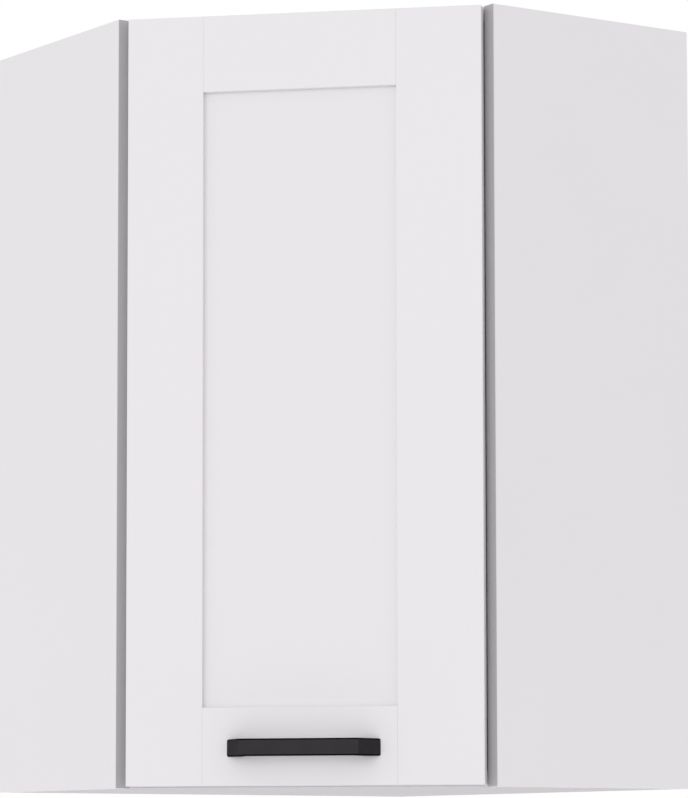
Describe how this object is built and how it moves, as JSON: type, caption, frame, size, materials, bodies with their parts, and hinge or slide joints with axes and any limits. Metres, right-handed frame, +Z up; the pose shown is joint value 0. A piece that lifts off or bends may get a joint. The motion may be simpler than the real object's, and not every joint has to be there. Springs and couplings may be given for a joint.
{
  "type": "corner wall cabinet",
  "caption": "Diagonal corner wall cabinet in white board with one framed door at 45 degrees, shelves inside, a dark bow handle and wall hangers.",
  "frame": {"origin": "centre of the 600 mm square footprint, on the underside of the carcase", "axes": "+Z up; the left wall of the room is the plane X = -0.3 m and the right wall the plane Y = +0.3 m, so the corner of the room is at (-0.3, 0.3) and the door faces between +X and -Y"},
  "size_m": [0.6, 0.6, 0.9],
  "materials": {
    "board": "white melamine-faced chipboard, satin",
    "back_board": "thin white hardboard, low sheen",
    "door_paint": "white lacquered fibreboard, silk",
    "dark_metal": "charcoal powder coat, satin",
    "steel": "nickel plated, satin",
    "zinc": "die-cast zinc alloy, matt",
    "plastic": "white moulded plastic, matt",
    "clear_rubber": "translucent soft pad"
  },
  "bodies": {
    "cabinet": {"side_left": "board", "side_right": "board", "bottom_board": "board", "top_board": "board", "back_left": "back_board", "back_right": "back_board", "corner_post_left": "board", "corner_post_right": "board", "shelf_lower": "board", "shelf_pin_lower_side_left": "steel", "shelf_pin_lower_side_right": "steel", "shelf_pin_lower_post_left": "steel", "shelf_pin_lower_post_right": "steel", "shelf_upper": "board", "shelf_pin_upper_side_left": "steel", "shelf_pin_upper_side_right": "steel", "shelf_pin_upper_post_left": "steel", "shelf_pin_upper_post_right": "steel", "cam_bottom_left": "zinc", "cam_bottom_right": "zinc", "cam_top_left": "zinc", "cam_top_right": "zinc", "hanger_housing_left": "plastic", "hanger_hook_left": "steel", "hanger_height_screw_left": "steel", "hanger_depth_screw_left": "steel", "hanger_housing_right": "plastic", "hanger_hook_right": "steel", "hanger_height_screw_right": "steel", "hanger_depth_screw_right": "steel", "hinge_lower_arm": "steel", "hinge_lower_plate": "steel", "hinge_lower_plate_screw_low": "steel", "hinge_lower_plate_screw_high": "steel", "hinge_lower_clamp_screw": "steel", "hinge_lower_adjuster_screw": "steel", "hinge_upper_arm": "steel", "hinge_upper_plate": "steel", "hinge_upper_plate_screw_low": "steel", "hinge_upper_plate_screw_high": "steel", "hinge_upper_clamp_screw": "steel", "hinge_upper_adjuster_screw": "steel"},
    "door": {"door_stile_left": "door_paint", "door_stile_right": "door_paint", "door_rail_bottom": "door_paint", "door_rail_top": "door_paint", "door_panel": "door_paint", "handle": "dark_metal", "bumper_bottom": "clear_rubber", "bumper_top": "clear_rubber", "handle_screw_left": "steel", "handle_screw_right": "steel", "hinge_lower_cup": "steel", "hinge_lower_pin": "steel", "hinge_lower_cup_screw_low": "steel", "hinge_lower_cup_screw_high": "steel", "hinge_upper_cup": "steel", "hinge_upper_pin": "steel", "hinge_upper_cup_screw_low": "steel", "hinge_upper_cup_screw_high": "steel"}
  },
  "joints": [
    {"name": "door_hinge", "type": "hinge", "parent": "cabinet", "child": "door", "pos_m": [-0.00106, -0.28348, 0.45], "axis": [0, 0, -1], "range_deg": [0, 100]}
  ]
}
